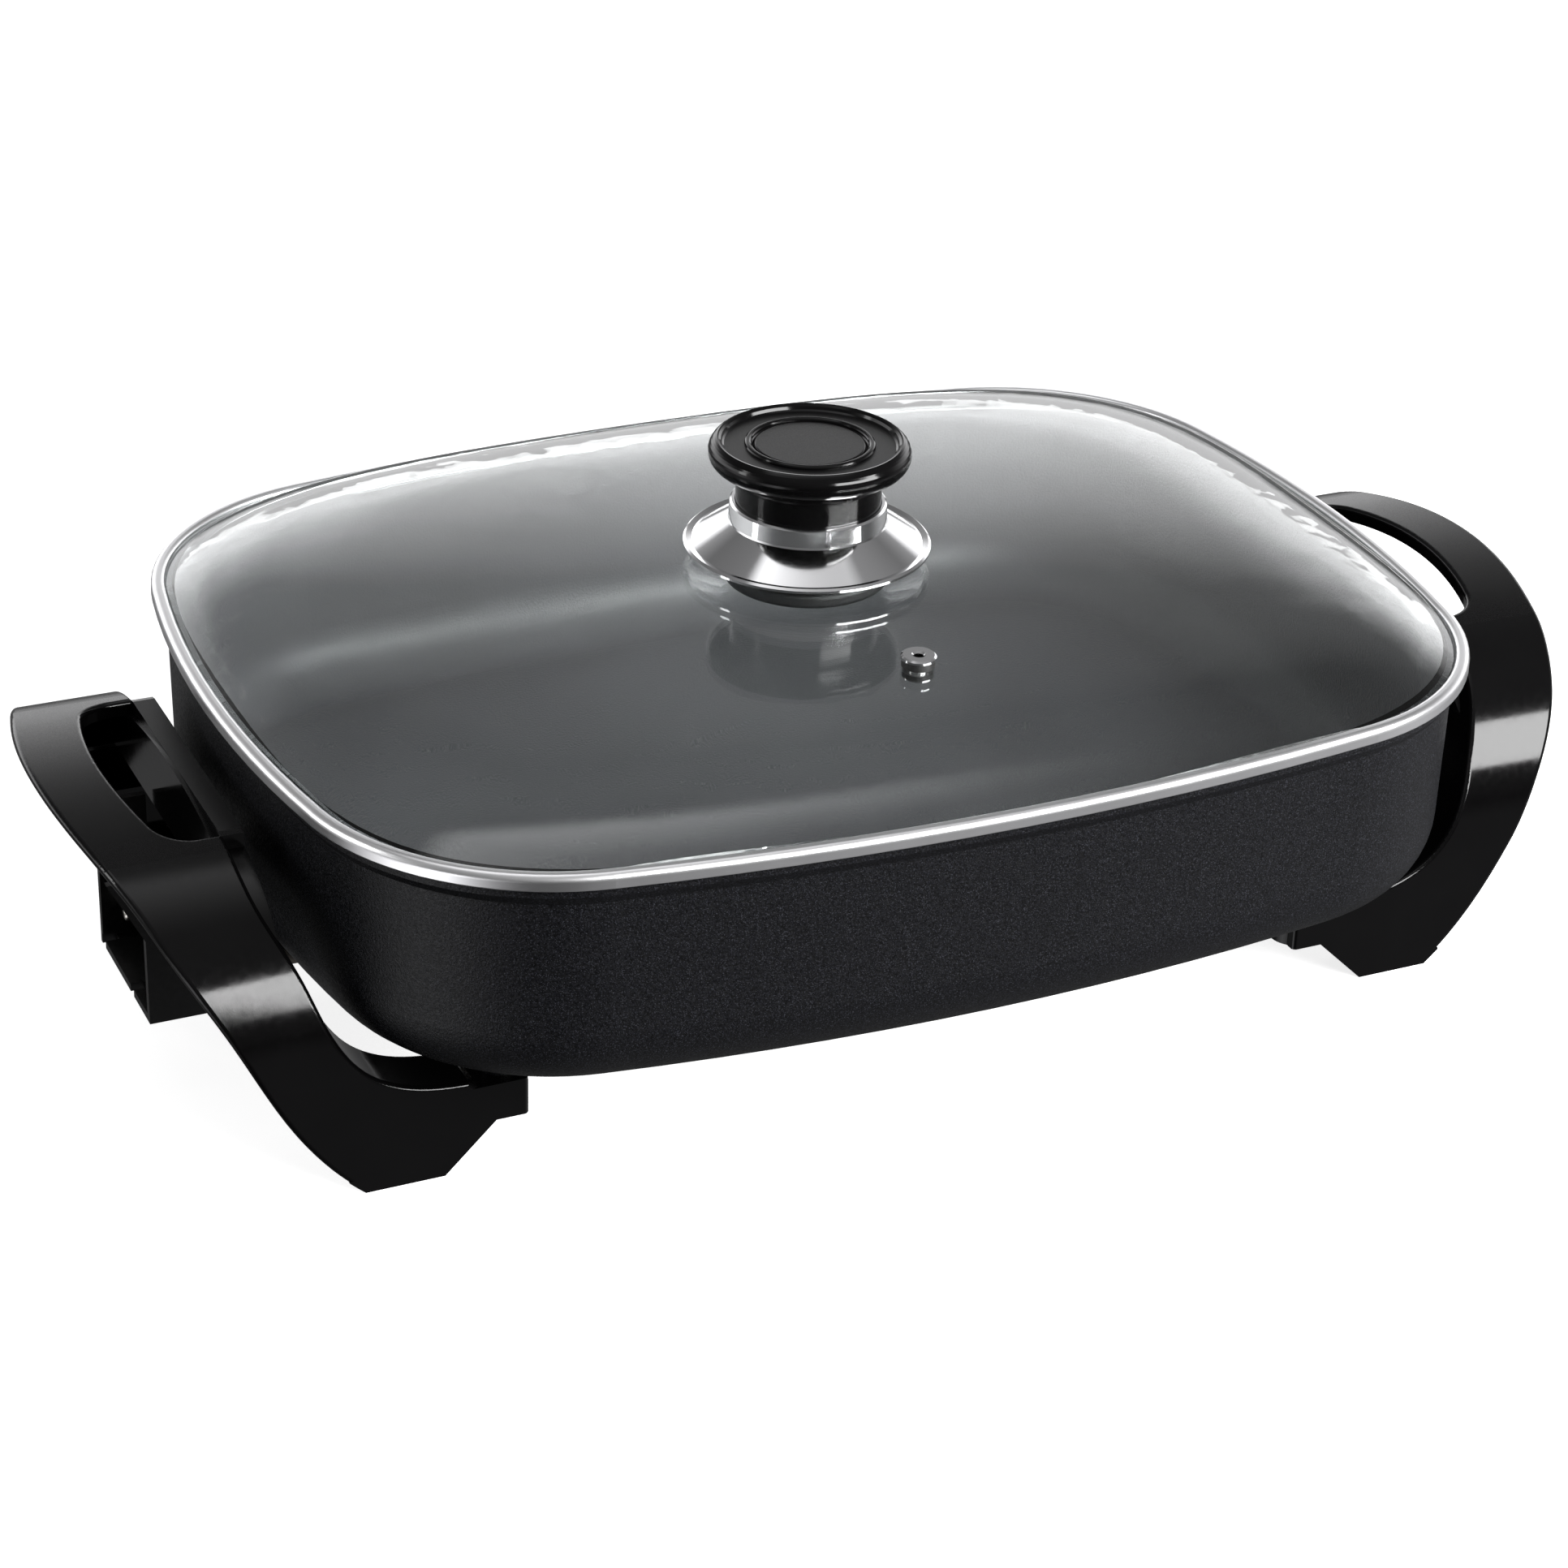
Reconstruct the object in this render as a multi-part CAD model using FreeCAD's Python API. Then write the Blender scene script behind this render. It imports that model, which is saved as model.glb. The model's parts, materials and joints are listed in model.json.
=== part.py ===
"""Rectangular electric skillet: cast pan on two leg-handles, cast-on heater, probe socket and glass lid.

Frame: millimetres, +Z up, origin on the table under the middle of the pan, +X along the long side.
The probe socket is at the -X end. The lid rests on the pan's lip and lifts straight up.
"""
import FreeCAD, Part
import math
import os

from FreeCAD import Vector

# ---- plan of the rim: bowed sides joined by round corners ----
RIM_HALF_LENGTH = 200.0
RIM_HALF_WIDTH = 156.3
LONG_SIDE_RADIUS = 840.0
SHORT_SIDE_RADIUS = 459.0
CORNER_RADIUS = 81.4

# ---- pan ----
PAN_BOTTOM = 42.0
PAN_TOP = 116.0
WALL_INSET_TOP = 4.5
WALL_INSET_BOTTOM = 5.5
WALL = 3.5
BOTTOM_RADIUS = 23.0
LIP_INSET = 2.0
LIP_HEIGHT = 3.0
BOSS_X = 139.0
BOSS_Y = 90.0
BOSS_RADIUS = 6.0
BOSS_LOW = 28.5

# ---- handles, drawn at the +X end ----
CROWN_HEIGHT = 105.0
CROWN_RADIUS = 230.0
SHOULDER_RADIUS = 60.0
LEG_HALF_SPREAD = 100.0
SKIN = 5.0
FLANGE_DEPTH = 14.0
EDGE_DEPTH = 4.0
FLANGE = 2.8
BAR_NEAR = 203.0
BAR_FAR = 210.0
BAR_HALF_LENGTH = 48.0
BAR_LOW = 76.0
BAR_TOP = 100.0
GRIP_HALF_LENGTH = 47.0
GRIP_FAR = 233.5
GRIP_BOW = 145.0
TAB_RADIUS = 8.5
TAB_LOW = 16.0
FOOT_DEPTH = 16.0
FOOT_HEIGHT = 5.0

# ---- M4 fixing screws of the handles ----
SCREW_RADIUS = 2.0
SCREW_HOLE_RADIUS = 2.1
SCREW_HEAD_RADIUS = 3.8
SCREW_HEAD_HEIGHT = 2.4
SCREW_RECESS_RADIUS = 5.2
SCREW_RECESS = 4.0
WASHER_RADIUS = 4.8
WASHER_THICKNESS = 0.8

# ---- heater and socket ----
SHEATH_RADIUS = 4.0
HEATER_X = 122.0
HEATER_Y = 72.0
HEATER_BEND = 18.0
PIN_Y = 18.0
PIN_RADIUS = 2.4
PIN_SHANK_RADIUS = 2.0
INSULATOR_NOSE = 5.0
SOCKET_Z = 41.0
DROP_BEND = 12.0
SHEATH_END_X = -200.0
DROP_START_X = -192.0
PLATE_X = -204.0
PLATE_THICKNESS = 1.5
PLATE_HALF_WIDTH = 24.8
PIN_TIP_X = -224.0
PROBE_RADIUS = 3.3
SLEEVE_RADIUS = 4.0
SLEEVE_END_X = -181.0
SOCKET_SCREW_Y = 9.0
SOCKET_SCREW_Z = 48.5
CLIP_X = 60.0

# ---- guard round the socket ----
GUARD_OPEN_X = -229.0
GUARD_BACK_X = -200.0
GUARD_HALF_WIDTH = 27.5
GUARD_LOW = 27.5
GUARD_HIGH = 56.5
GUARD_WALL = 2.5
FIN_TOP = 78.0
FIN_OUT_X = -240.0
FIN_BACK_X = -213.0
NOTCH_PLACES = (-8.0, 24.0)
NOTCH_WIDTH = 3.6
NOTCH_DEPTH = 4.5

# ---- lid ----
RIM_HEIGHT = 5.0
RIM_SHEET = 0.6
RIM_LEG = 8.5
ROLL_WIDTH = 4.6
ROLL_OUTER_RADIUS = 2.2
ROLL_INNER_RADIUS = 1.6
GLASS = 4.0
GLASS_EDGE_INSET = 1.0
GLASS_EDGE = 2.0
SHOULDER_INSET = 4.8
DOME_TOP = 136.0
CROWN_DROP = 5.0
SHOULDER_DROP = 11.6
DOME_GRID = 18
KNOB_HOLE_RADIUS = 6.0
VENT_Y = -82.0
VENT_HOLE_RADIUS = 3.3

# ---- knob ----
SKIRT_RADIUS = 39.6
SKIRT_Z = 140.2
SKIRT_SHEET = 1.0
CONE_TOP = 149.4
COLLAR_TOP = 155.8
COLLAR_RADIUS = 25.4
NECK_RADIUS = 23.3
DISC_RADIUS = 32.3
BEAD_RADIUS = 4.8
NECK_FILLET = 3.5
NECK_FILLET_Z = 162.9
KNOB_TOP = 177.0
CAP_RADIUS = 17.8
CAP_LOW = 171.4
INSERT_RADIUS = 5.0
INSERT_TOP = 163.0
KNOB_SCREW_RADIUS = 2.5
KNOB_SCREW_TOP = 158.5
INNER_GASKET = 4.8
KNOB_WASHER = 1.3

UP = Vector(0, 0, 1)


# ---------------------------------------------------------------- helpers

def box(x0, x1, y0, y1, z0, z1):
    return Part.makeBox(x1 - x0, y1 - y0, z1 - z0, Vector(x0, y0, z0))


def cylinder(radius, x, y, z0, z1):
    return Part.makeCylinder(radius, z1 - z0, Vector(x, y, z0), UP)


def rod(radius, x0, x1, y, z):
    """Cylinder along X."""
    return Part.makeCylinder(radius, x1 - x0, Vector(x0, y, z), Vector(1, 0, 0))


def revolve(profile):
    """Solid of revolution about Z from corner points (radius, height)."""
    points = [Vector(r, 0, z) for r, z in profile]
    face = Part.Face(Part.makePolygon(points + points[:1]))
    return face.revolve(Vector(0, 0, 0), UP, 360)


def mirror_x(shape):
    return shape.mirror(Vector(0, 0, 0), Vector(1, 0, 0))


def mirror_y(shape):
    return shape.mirror(Vector(0, 0, 0), Vector(0, 1, 0))


def front_and_back(shape):
    return Part.makeCompound([shape, mirror_y(shape)])


def round_edges(shape, radius, wanted):
    """Fillet the edges whose middle point passes the test."""
    edges = [e for e in shape.Edges if wanted(e, e.valueAt(sum(e.ParameterRange) / 2))]
    return shape.makeFillet(radius, edges)


# ---------------------------------------------------------------- rim plan

def corner_centre():
    """Centre of the corner arc that touches both bowed sides, in the +X +Y quarter."""
    long_y = RIM_HALF_WIDTH - LONG_SIDE_RADIUS
    short_x = RIM_HALF_LENGTH - SHORT_SIDE_RADIUS
    long_reach = LONG_SIDE_RADIUS - CORNER_RADIUS
    short_reach = SHORT_SIDE_RADIUS - CORNER_RADIUS
    gap = math.hypot(short_x, long_y)
    along = (long_reach ** 2 - short_reach ** 2 + gap ** 2) / (2 * gap)
    aside = math.sqrt(long_reach ** 2 - along ** 2)
    ux, uy = short_x / gap, -long_y / gap
    return Vector(along * ux + aside * uy, long_y + along * uy - aside * ux, 0)


def rim_wire(inset, z):
    """Rim outline moved inwards by the inset, at height z."""
    corner = corner_centre()
    long_centre = Vector(0, RIM_HALF_WIDTH - LONG_SIDE_RADIUS, 0)
    short_centre = Vector(RIM_HALF_LENGTH - SHORT_SIDE_RADIUS, 0, 0)
    to_long = (corner - long_centre).normalize()
    to_short = (corner - short_centre).normalize()
    radius = CORNER_RADIUS - inset
    a = corner + to_long * radius
    b = corner + to_short * radius
    m = corner + (to_long + to_short).normalize() * radius
    signs = ((1, 1), (1, -1), (-1, -1), (-1, 1))

    def place(p, sx, sy):
        return Vector(p.x * sx, p.y * sy, z)

    edges = []
    for sx, sy in signs:
        start, end = (a, b) if sx * sy > 0 else (b, a)
        edges.append(Part.Arc(place(start, sx, sy), place(m, sx, sy), place(end, sx, sy)).toShape())
    half_length = RIM_HALF_LENGTH - inset
    half_width = RIM_HALF_WIDTH - inset
    for side in (1, -1):
        ends = place(b, side, 1), place(b, side, -1)
        edges.append(Part.Arc(ends[0], Vector(side * half_length, 0, z), ends[1]).toShape())
        ends = place(a, 1, side), place(a, -1, side)
        edges.append(Part.Arc(ends[0], Vector(0, side * half_width, z), ends[1]).toShape())
    return Part.Wire(Part.__sortEdges__(edges))


def rim_prism(inset, z0, z1):
    return Part.Face(rim_wire(inset, z0)).extrude(Vector(0, 0, z1 - z0))


def rim_loft(inset0, z0, inset1, z1):
    return Part.makeLoft([rim_wire(inset0, z0), rim_wire(inset1, z1)], True, True)


# ---------------------------------------------------------------- pan

def tub(extra_inset, bottom, top, radius):
    """Tapered tub with a rounded bottom edge."""
    body = rim_loft(WALL_INSET_BOTTOM + extra_inset, bottom, WALL_INSET_TOP + extra_inset, top)
    return round_edges(body, radius, lambda e, p: abs(p.z - bottom) < 0.01)


def make_pan():
    outside = tub(0, PAN_BOTTOM, PAN_TOP, BOTTOM_RADIUS)
    lip = rim_loft(WALL_INSET_TOP - 0.5, PAN_TOP - LIP_HEIGHT - 3, LIP_INSET, PAN_TOP - LIP_HEIGHT)
    lip = lip.fuse(rim_prism(LIP_INSET, PAN_TOP - LIP_HEIGHT, PAN_TOP))
    socket_boss = box(PLATE_X, -160, -13, 13, 35, 53)
    corners = [(sx * BOSS_X, sy * BOSS_Y) for sx in (1, -1) for sy in (1, -1)]
    bosses = [cylinder(BOSS_RADIUS, x, y, BOSS_LOW, PAN_BOTTOM + 2) for x, y in corners]
    clip_bosses = [box(x - 5, x + 5, y0, y1, PAN_BOTTOM - 3, PAN_BOTTOM + 1)
                   for x in (-CLIP_X, CLIP_X) for y0, y1 in ((-62, -52), (52, 62))]
    pan = outside.fuse([lip, socket_boss] + bosses + clip_bosses)
    pan = pan.cut(tub(WALL, PAN_BOTTOM + WALL, PAN_TOP + 1, BOTTOM_RADIUS - WALL))
    holes = [cylinder(SCREW_HOLE_RADIUS, x, y, BOSS_LOW - 1, PAN_BOTTOM + 0.5) for x, y in corners]
    holes += [cylinder(1.6, x, y, PAN_BOTTOM - 4, PAN_BOTTOM + 1)
              for x in (-CLIP_X, CLIP_X) for y in (-57, 57)]
    holes += [rod(1.6, PLATE_X - 1, PLATE_X + 12, y, SOCKET_SCREW_Z)
              for y in (-SOCKET_SCREW_Y, SOCKET_SCREW_Y)]
    holes.append(rod(SLEEVE_RADIUS + 0.05, PLATE_X - 1, SLEEVE_END_X + 0.05, 0, SOCKET_Z))
    return pan.cut(holes).removeSplitter()


# ---------------------------------------------------------------- handles

def arch(inset):
    """Arch seen along X, moved inwards by the inset, as a prism over the handle's length."""
    shoulder_y = LEG_HALF_SPREAD - SHOULDER_RADIUS
    reach = CROWN_RADIUS - SHOULDER_RADIUS
    crown_z = CROWN_HEIGHT - CROWN_RADIUS
    shoulder_z = crown_z + math.sqrt(reach ** 2 - shoulder_y ** 2)
    crown = CROWN_RADIUS - inset
    shoulder = SHOULDER_RADIUS - inset
    half = LEG_HALF_SPREAD - inset
    lean = math.asin(shoulder_y / reach)
    joint = (crown * math.sin(lean), crown_z + crown * math.cos(lean))
    middle = (lean + math.pi / 2) / 2
    bend = (shoulder_y + shoulder * math.sin(middle), shoulder_z + shoulder * math.cos(middle))
    x = 120.0

    def at(yz, side=1):
        return Vector(x, side * yz[0], yz[1])

    spring, foot = (half, shoulder_z), (half, -1.0)
    edges = [
        Part.Arc(at(joint, -1), Vector(x, 0, crown_z + crown), at(joint)).toShape(),
        Part.Arc(at(joint), at(bend), at(spring)).toShape(),
        Part.makeLine(at(spring), at(foot)),
        Part.makeLine(at(foot), at(foot, -1)),
        Part.makeLine(at(foot, -1), at(spring, -1)),
        Part.Arc(at(spring, -1), at(bend, -1), at(joint, -1)).toShape(),
    ]
    return Part.Face(Part.Wire(Part.__sortEdges__(edges))).extrude(Vector(150, 0, 0))


def handle_outline():
    """Handle seen along Y: outer edge down to the foot, then the inner edge back up beside the pan."""
    outer = [(262.5, 110), (257.2, 105), (252, 100.6), (245, 94), (238, 83),
             (224.5, 60), (209, 30), (198, 13.5), (185, 0)]
    inner = [(152, 31), (161, 31.6), (173, 34.5), (183, 40.5), (190, 49), (195, 59), (199, 70),
             (203.5, 80), (208, 90), (209.5, 100), (209.5, 110)]
    y = -120.0
    outer_points = [Vector(px, y, pz) for px, pz in outer]
    inner_points = [Vector(px, y, pz) for px, pz in inner]
    corners = [outer_points[-1], Vector(160, y, 0), Vector(143.5, y, TAB_LOW), Vector(133, y, TAB_LOW),
               Vector(133, y, BOSS_LOW), Vector(149, y, BOSS_LOW), inner_points[0]]
    edges = []
    for points in (outer_points, inner_points):
        curve = Part.BSplineCurve()
        curve.interpolate(points)
        edges.append(curve.toShape())
    edges += [Part.makeLine(p, q) for p, q in zip(corners, corners[1:])]
    edges.append(Part.makeLine(inner_points[-1], outer_points[0]))
    return Part.Face(Part.Wire(Part.__sortEdges__(edges))).extrude(Vector(0, 240, 0))


def grip_opening():
    """Finger opening in the skin beside the bar, bowed outwards on the far side."""
    block = box(BAR_NEAR, GRIP_FAR + 5, -GRIP_HALF_LENGTH, GRIP_HALF_LENGTH, 80, 120)
    block = block.common(cylinder(GRIP_BOW, GRIP_FAR - GRIP_BOW, 0, 80, 120))
    return round_edges(block, 13, lambda e, p: abs(p.z - 100) < 1 and p.x > 220 and abs(p.y) > 30)


def bounds_outer_skin(edge, point):
    """True for the edges round the arch's outer face, apart from its seams, which run along X."""
    seam = abs(edge.valueAt(edge.FirstParameter).y - edge.valueAt(edge.LastParameter).y) < 0.01
    seam = seam and abs(edge.valueAt(edge.FirstParameter).z - edge.valueAt(edge.LastParameter).z) < 0.01
    return not seam and point.z > TAB_LOW + 1 and not arch(0.05).isInside(point, 0.01, True)


def make_handle():
    """Handle at the +X end. The one at the -X end is its mirror image."""
    silhouette = handle_outline()
    skin = arch(0).cut(arch(SKIN)).common(silhouette).cut(grip_opening())
    skin = round_edges(skin, 1.6, bounds_outer_skin)
    hollow = arch(SKIN)
    deep = hollow.cut(arch(SKIN + FLANGE_DEPTH))
    shallow = hollow.cut(arch(SKIN + EDGE_DEPTH))
    inner_wall = silhouette.cut(silhouette.translated(Vector(FLANGE, 0, -FLANGE))).common(deep)
    inner_wall = inner_wall.cut(grip_opening())
    outer_wall = silhouette.cut(silhouette.translated(Vector(-FLANGE, 0, FLANGE))).common(shallow)
    ribs = [box(150, 250, -LEG_HALF_SPREAD, LEG_HALF_SPREAD, z, z + 2.4) for z in (22, 46, 70)]
    ribs = Part.makeCompound(ribs).common(silhouette).common(hollow.cut(arch(SKIN + 9)))
    bar = box(BAR_NEAR, BAR_FAR, -BAR_HALF_LENGTH, BAR_HALF_LENGTH, BAR_LOW, BAR_TOP)
    bar = bar.common(arch(0.4))
    bar_ends = box(BAR_NEAR, BAR_FAR + 1.5, -78, 78, BAR_LOW, 110).common(hollow)
    foot = box(150, 190, -LEG_HALF_SPREAD, -LEG_HALF_SPREAD + FOOT_DEPTH, 0, FOOT_HEIGHT).common(silhouette)
    tab = cylinder(TAB_RADIUS, BOSS_X, -BOSS_Y, TAB_LOW, BOSS_LOW)
    web = box(BOSS_X - 6, 152, -LEG_HALF_SPREAD + 1, -BOSS_Y, TAB_LOW, BOSS_LOW - 1).common(silhouette)
    pieces = [inner_wall, outer_wall, ribs, bar, bar_ends]
    pieces += [foot, mirror_y(foot), tab, mirror_y(tab), web, mirror_y(web)]
    handle = skin.fuse(pieces)
    hole = cylinder(SCREW_HOLE_RADIUS + 0.2, BOSS_X, -BOSS_Y, TAB_LOW - 1, BOSS_LOW + 4)
    recess = cylinder(SCREW_RECESS_RADIUS, BOSS_X, -BOSS_Y, TAB_LOW - 1, TAB_LOW + SCREW_RECESS)
    boss_room = cylinder(BOSS_RADIUS + 1, BOSS_X, -BOSS_Y, BOSS_LOW, BOSS_LOW + 6)
    cuts = [hole, recess, boss_room]
    return handle.cut(cuts + [mirror_y(c) for c in cuts]).removeSplitter()


def handle_screw():
    low = TAB_LOW + SCREW_RECESS - WASHER_THICKNESS
    head = cylinder(SCREW_HEAD_RADIUS, BOSS_X, -BOSS_Y, low - SCREW_HEAD_HEIGHT, low)
    head = round_edges(head, 1.0, lambda e, p: p.z < low - 1)
    slot = box(BOSS_X - 3, BOSS_X + 3, -BOSS_Y - 0.5, -BOSS_Y + 0.5, low - 3, low - 1.2)
    cross = slot.copy()
    cross.rotate(Vector(BOSS_X, -BOSS_Y, 0), UP, 90)
    shank = cylinder(SCREW_RADIUS, BOSS_X, -BOSS_Y, low, PAN_BOTTOM)
    return head.fuse(shank).cut([slot, cross])


def handle_washer():
    low = TAB_LOW + SCREW_RECESS - WASHER_THICKNESS
    ring = cylinder(WASHER_RADIUS, BOSS_X, -BOSS_Y, low, low + WASHER_THICKNESS)
    return ring.cut(cylinder(SCREW_HOLE_RADIUS, BOSS_X, -BOSS_Y, low - 1, low + 2))


# ---------------------------------------------------------------- heater and socket

def rounded_path(corners, radius):
    """Straight runs in a level plane joined by tangent arcs at the inner corners."""
    edges = []
    start = corners[0]
    for before, corner, after in zip(corners, corners[1:], corners[2:]):
        into = (corner - before).normalize()
        out = (after - corner).normalize()
        centre = corner - into * radius + out * radius
        bend = centre + (into - out).normalize() * radius
        edges.append(Part.makeLine(start, corner - into * radius))
        edges.append(Part.Arc(corner - into * radius, bend, corner + out * radius).toShape())
        start = corner + out * radius
    edges.append(Part.makeLine(start, corners[-1]))
    return edges


def cold_end(side):
    """From the terminal plate inwards, then down in an S to the level of the loop."""
    loop_z = PAN_BOTTOM - SHEATH_RADIUS
    turn = math.acos(1 - (SOCKET_Z - loop_z) / (2 * DROP_BEND))
    y = side * PIN_Y

    def at(dx, z):
        return Vector(DROP_START_X + dx, y, z)

    half_run = DROP_BEND * math.sin(turn)
    half_drop = DROP_BEND * (1 - math.cos(turn))
    bend_x = DROP_BEND * math.sin(turn / 2)
    bend_z = DROP_BEND * (1 - math.cos(turn / 2))
    middle = at(half_run, SOCKET_Z - half_drop)
    end = at(2 * half_run, loop_z)
    upper = Part.Arc(at(0, SOCKET_Z), at(bend_x, SOCKET_Z - bend_z), middle).toShape()
    lower = Part.Arc(middle, at(2 * half_run - bend_x, loop_z + bend_z), end).toShape()
    return [Part.makeLine(Vector(SHEATH_END_X, y, SOCKET_Z), at(0, SOCKET_Z)), upper, lower], end


def make_heater():
    front, front_end = cold_end(-1)
    back, back_end = cold_end(1)
    z = front_end.z
    plan = [(-HEATER_X, -PIN_Y), (-HEATER_X, -HEATER_Y), (HEATER_X, -HEATER_Y),
            (HEATER_X, HEATER_Y), (-HEATER_X, HEATER_Y), (-HEATER_X, PIN_Y)]
    loop = rounded_path([front_end] + [Vector(x, y, z) for x, y in plan] + [back_end], HEATER_BEND)
    path = Part.Wire(Part.__sortEdges__(front + loop + back))
    start = Vector(SHEATH_END_X, -PIN_Y, SOCKET_Z)
    section = Part.Wire(Part.makeCircle(SHEATH_RADIUS, start, Vector(1, 0, 0)))
    return path.makePipeShell([section], True, True)


def heater_clip(x, side):
    """Saddle strap under the loop, with an ear screwed to the pan's pad."""
    z = PAN_BOTTOM - SHEATH_RADIUS
    inner, outer = SHEATH_RADIUS + 0.1, SHEATH_RADIUS + 1.1
    saddle = Part.makeCylinder(outer, 9, Vector(x - 4.5, HEATER_Y, z), Vector(1, 0, 0))
    saddle = saddle.common(box(x - 5, x + 5, HEATER_Y - outer, HEATER_Y + outer, z - outer, z))
    saddle = saddle.fuse(box(x - 4.5, x + 4.5, HEATER_Y - outer, HEATER_Y + outer, z, PAN_BOTTOM - 0.1))
    saddle = saddle.cut(Part.makeCylinder(inner, 11, Vector(x - 5.5, HEATER_Y, z), Vector(1, 0, 0)))
    saddle = saddle.cut(box(x - 6, x + 6, HEATER_Y - inner, HEATER_Y + inner, z, PAN_BOTTOM + 1))
    ear = box(x - 4.5, x + 4.5, 52.5, HEATER_Y - inner, PAN_BOTTOM - 4, PAN_BOTTOM - 3)
    clip = saddle.fuse(ear).cut(cylinder(1.7, x, 57, PAN_BOTTOM - 5, PAN_BOTTOM)).removeSplitter()
    return clip if side > 0 else mirror_y(clip)


def clip_screw(x, y):
    head = cylinder(2.8, x, y, PAN_BOTTOM - 5.8, PAN_BOTTOM - 4)
    return head.fuse(cylinder(1.5, x, y, PAN_BOTTOM - 4, PAN_BOTTOM + 0.8))


def make_pin(y):
    shoulder_x = PLATE_X - INSULATOR_NOSE - 0.2
    pin = rod(PIN_RADIUS, PIN_TIP_X, shoulder_x, y, SOCKET_Z)
    pin = round_edges(pin, 1.6, lambda e, p: p.x < PIN_TIP_X + 0.1)
    return pin.fuse(rod(PIN_SHANK_RADIUS, shoulder_x, SHEATH_END_X, y, SOCKET_Z))


def make_insulator(y):
    collar = rod(4.8, PLATE_X, SHEATH_END_X, y, SOCKET_Z)
    nose = rod(4.1, PLATE_X - INSULATOR_NOSE, PLATE_X, y, SOCKET_Z)
    return collar.fuse(nose).cut(rod(PIN_SHANK_RADIUS + 0.05, PLATE_X - 6, SHEATH_END_X + 1, y, SOCKET_Z))


def make_probe_sleeve():
    tube = rod(SLEEVE_RADIUS, PLATE_X - 3.5, SLEEVE_END_X, 0, SOCKET_Z)
    tube = round_edges(tube, 1.5, lambda e, p: p.x > SLEEVE_END_X - 0.1)
    return tube.cut(rod(PROBE_RADIUS, PLATE_X - 5, SLEEVE_END_X - 1, 0, SOCKET_Z))


def socket_holes(x0, x1, pin_radius):
    holes = [rod(pin_radius, x0, x1, y, SOCKET_Z) for y in (-PIN_Y, PIN_Y)]
    holes.append(rod(SLEEVE_RADIUS + 0.1, x0, x1, 0, SOCKET_Z))
    holes += [rod(1.7, x0, x1, y, SOCKET_SCREW_Z) for y in (-SOCKET_SCREW_Y, SOCKET_SCREW_Y)]
    return holes


def make_terminal_plate():
    plate = box(PLATE_X - PLATE_THICKNESS, PLATE_X, -PLATE_HALF_WIDTH, PLATE_HALF_WIDTH, 31, 53.8)
    return plate.cut(socket_holes(PLATE_X - 3, PLATE_X + 1, 4.15))


def make_guard():
    back = PLATE_X - PLATE_THICKNESS
    wall_outline = [(GUARD_BACK_X, GUARD_LOW), (GUARD_OPEN_X, GUARD_LOW), (GUARD_OPEN_X, GUARD_HIGH),
                    (FIN_OUT_X, FIN_TOP), (FIN_BACK_X, FIN_TOP), (FIN_BACK_X, GUARD_HIGH),
                    (GUARD_BACK_X, GUARD_HIGH)]
    corners = [Vector(x, -GUARD_HALF_WIDTH, z) for x, z in wall_outline]
    side = Part.Face(Part.makePolygon(corners + corners[:1])).extrude(Vector(0, GUARD_WALL, 0))
    width = (-GUARD_HALF_WIDTH, GUARD_HALF_WIDTH)
    floor = box(GUARD_OPEN_X, GUARD_BACK_X, *width, GUARD_LOW, GUARD_LOW + GUARD_WALL)
    roof = box(GUARD_OPEN_X + 2, GUARD_BACK_X, *width, GUARD_HIGH - GUARD_WALL, GUARD_HIGH)
    web = box(back - 1.8, back, *width, GUARD_LOW, GUARD_HIGH)
    guard = side.fuse([mirror_y(side), floor, roof, web])
    cuts = socket_holes(back - 3, back + 1, 5.0)
    for y in NOTCH_PLACES:
        cuts.append(box(GUARD_OPEN_X - 1, GUARD_OPEN_X + NOTCH_DEPTH, y - NOTCH_WIDTH / 2,
                        y + NOTCH_WIDTH / 2, GUARD_LOW - 1, GUARD_LOW + GUARD_WALL + 1))
    return guard.cut(cuts).removeSplitter()


def guard_screw(y):
    seat = PLATE_X - PLATE_THICKNESS - 1.8
    head = rod(2.8, seat - 1.8, seat, y, SOCKET_SCREW_Z)
    head = head.cut(box(seat - 3, seat - 1, y - 2, y + 2, SOCKET_SCREW_Z - 0.4, SOCKET_SCREW_Z + 0.4))
    return head.fuse(rod(1.5, seat, PLATE_X + 11, y, SOCKET_SCREW_Z))


# ---------------------------------------------------------------- lid

def dome_height(x, y, inset):
    """Top of the glass: a shallow crown that falls away quickly towards the rim."""
    u = x / (RIM_HALF_LENGTH - SHOULDER_INSET - inset)
    v = y / (RIM_HALF_WIDTH - SHOULDER_INSET - inset)
    return DOME_TOP - CROWN_DROP * (u * u + v * v) - SHOULDER_DROP * (u ** 4 + v ** 4) ** 3


def dome(inset, bottom, drop):
    """Solid under the domed surface, lowered by the drop and trimmed by the rim's plan."""
    half_x = RIM_HALF_LENGTH - SHOULDER_INSET
    half_y = RIM_HALF_WIDTH - SHOULDER_INSET
    xs = [half_x * i / DOME_GRID for i in range(-DOME_GRID, DOME_GRID + 1)]
    ys = [half_y * j / DOME_GRID for j in range(-DOME_GRID, DOME_GRID + 1)]
    surface = Part.BSplineSurface()
    surface.interpolate([[Vector(x, y, dome_height(x, y, inset) - drop) for y in ys] for x in xs])
    below = surface.toShape().extrude(Vector(0, 0, -300))
    return below.common(rim_prism(SHOULDER_INSET + inset, bottom, DOME_TOP + 2))


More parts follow.
